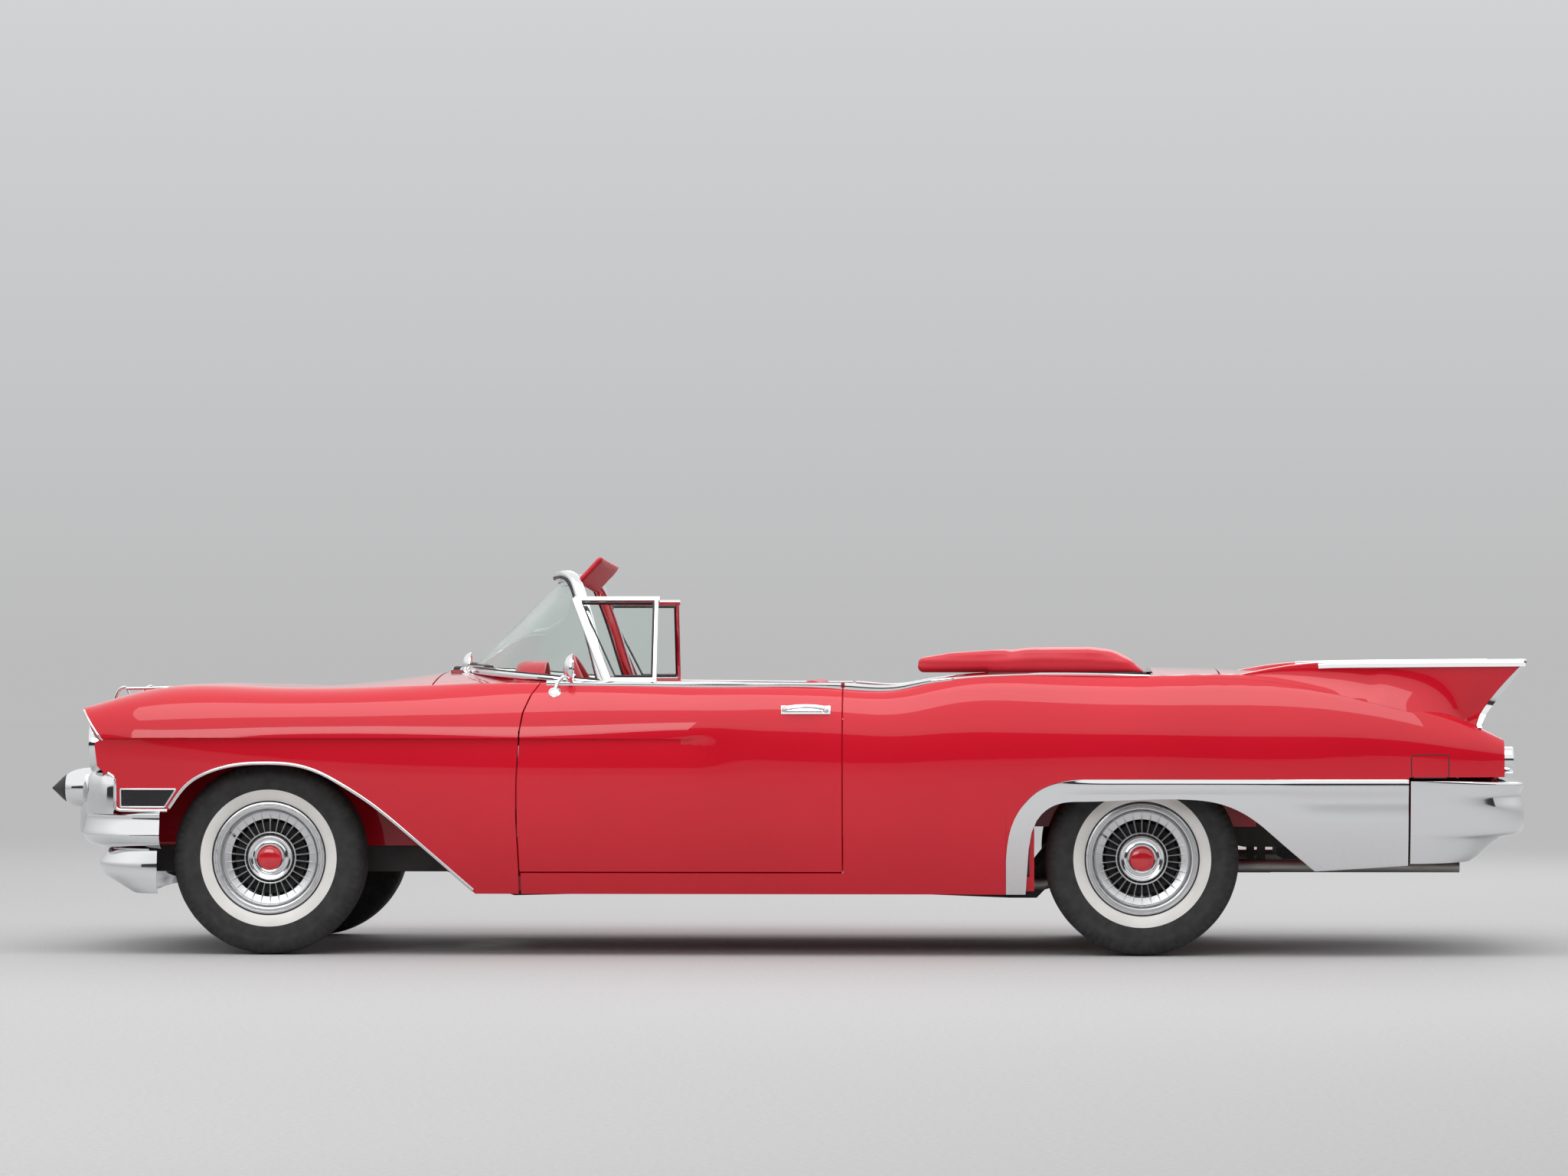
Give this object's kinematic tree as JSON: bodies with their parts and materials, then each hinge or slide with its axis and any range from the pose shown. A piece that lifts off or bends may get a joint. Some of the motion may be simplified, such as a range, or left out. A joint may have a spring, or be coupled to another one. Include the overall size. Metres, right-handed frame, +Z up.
{
  "type": "two-door convertible car with tail fins",
  "caption": "Long two-door luxury convertible with tail fins, chrome bumpers and wheel trim, top folded under a boot; wheels, steering, doors, hood and trunk lid move.",
  "frame": {"origin": "on the ground under the middle of the car's length and width", "axes": "+X towards the tail, +Y to the car's right, +Z up"},
  "size_m": [5.64, 2.0326, 1.5089],
  "materials": {
    "paint": "glossy red enamel",
    "chrome": "polished chrome plate",
    "brushed_wheel": "brushed finned aluminium",
    "tyre": "black rubber with white sidewall",
    "black_rubber": "moulded black rubber",
    "clear_glass": "clear safety glass",
    "lamp_glass": "fluted clear lens",
    "tail_glass": "red lens",
    "red_leather": "red leather and vinyl trim",
    "red_vinyl": "red coated cloth",
    "black_paint": "satin black chassis paint",
    "cast_engine": "painted cast iron",
    "steel": "bare and plated steel"
  },
  "bodies": {
    "body": {"bumper_tips": "black_rubber", "cowl": "paint", "dashboard": "red_leather", "engine": "cast_engine", "exhaust": "steel", "frame": "black_paint", "front_bumper": "chrome", "front_clip": "paint", "front_fender_left": "paint", "front_fender_right": "paint", "front_seat": "red_leather", "front_suspension": "black_paint", "fuel_tank": "black_paint", "grille": "chrome", "headlamp_bezels": "chrome", "headlamps": "lamp_glass", "quarter_trim": "chrome", "rear_axle": "black_paint", "rear_bumper": "chrome", "rear_deck": "paint", "rear_quarter_left": "paint", "rear_quarter_right": "paint", "rear_seat": "red_leather", "sun_visors": "red_leather", "tail_lamps": "tail_glass", "top_boot": "red_vinyl", "tub": "paint", "windshield_frame": "chrome", "windshield_glass": "clear_glass"},
    "hood": {"hood": "paint", "hood_ornaments": "chrome"},
    "trunk_lid": {"trunk_lid": "paint"},
    "door_left": {"door_left": "paint", "door_brightwork_left": "chrome", "vent_glass_left": "clear_glass"},
    "door_right": {"door_right": "paint", "door_brightwork_right": "chrome", "vent_glass_right": "clear_glass"},
    "steering_wheel": {"steering_wheel": "red_leather"},
    "knuckle_left": {"knuckle_left": "steel"},
    "knuckle_right": {"knuckle_right": "steel"},
    "wheel_front_left": {"tyre_front_left": "tyre", "wheel_front_left": "brushed_wheel"},
    "wheel_front_right": {"tyre_front_right": "tyre", "wheel_front_right": "brushed_wheel"},
    "wheel_rear_left": {"tyre_rear_left": "tyre", "wheel_rear_left": "brushed_wheel"},
    "wheel_rear_right": {"tyre_rear_right": "tyre", "wheel_rear_right": "brushed_wheel"}
  },
  "joints": [
    {"name": "hood_hinge", "type": "hinge", "parent": "body", "child": "hood", "pos_m": [-1.328, 0, 1.068], "axis": [0, 1, 0], "range_deg": [0, 45]},
    {"name": "trunk_hinge", "type": "hinge", "parent": "body", "child": "trunk_lid", "pos_m": [1.654, 0, 1.079], "axis": [0, -1, 0], "range_deg": [0, 55]},
    {"name": "door_left_hinge", "type": "hinge", "parent": "body", "child": "door_left", "pos_m": [-0.992, -1.018, 0.7], "axis": [0, 0, -1], "range_deg": [0, 68]},
    {"name": "door_right_hinge", "type": "hinge", "parent": "body", "child": "door_right", "pos_m": [-0.992, 1.018, 0.7], "axis": [0, 0, 1], "range_deg": [0, 68]},
    {"name": "steer_left", "type": "hinge", "parent": "body", "child": "knuckle_left", "pos_m": [-1.936, -0.7045, 0.365], "axis": [0, 0, 1], "range_deg": [-30, 30]},
    {"name": "steer_right", "type": "hinge", "parent": "body", "child": "knuckle_right", "pos_m": [-1.936, 0.7045, 0.365], "axis": [0, 0, 1], "range_deg": [-30, 30]},
    {"name": "steering_wheel_turn", "type": "hinge", "parent": "body", "child": "steering_wheel", "pos_m": [-0.72, -0.4, 0.93], "axis": [-0.8829, 0, -0.4695], "range_deg": [-450, 450]},
    {"name": "spin_front_left", "type": "hinge", "parent": "knuckle_left", "child": "wheel_front_left", "pos_m": [-1.936, -0.7745, 0.365], "axis": [0, 1, 0], "continuous": true},
    {"name": "spin_front_right", "type": "hinge", "parent": "knuckle_right", "child": "wheel_front_right", "pos_m": [-1.936, 0.7745, 0.365], "axis": [0, 1, 0], "continuous": true},
    {"name": "spin_rear_left", "type": "hinge", "parent": "body", "child": "wheel_rear_left", "pos_m": [1.353, -0.7745, 0.365], "axis": [0, 1, 0], "continuous": true},
    {"name": "spin_rear_right", "type": "hinge", "parent": "body", "child": "wheel_rear_right", "pos_m": [1.353, 0.7745, 0.365], "axis": [0, 1, 0], "continuous": true}
  ],
  "couplings": [
    {"joint": "steer_right", "follows": "steer_left", "ratio": 1},
    {"joint": "steering_wheel_turn", "follows": "steer_left", "ratio": 15}
  ]
}
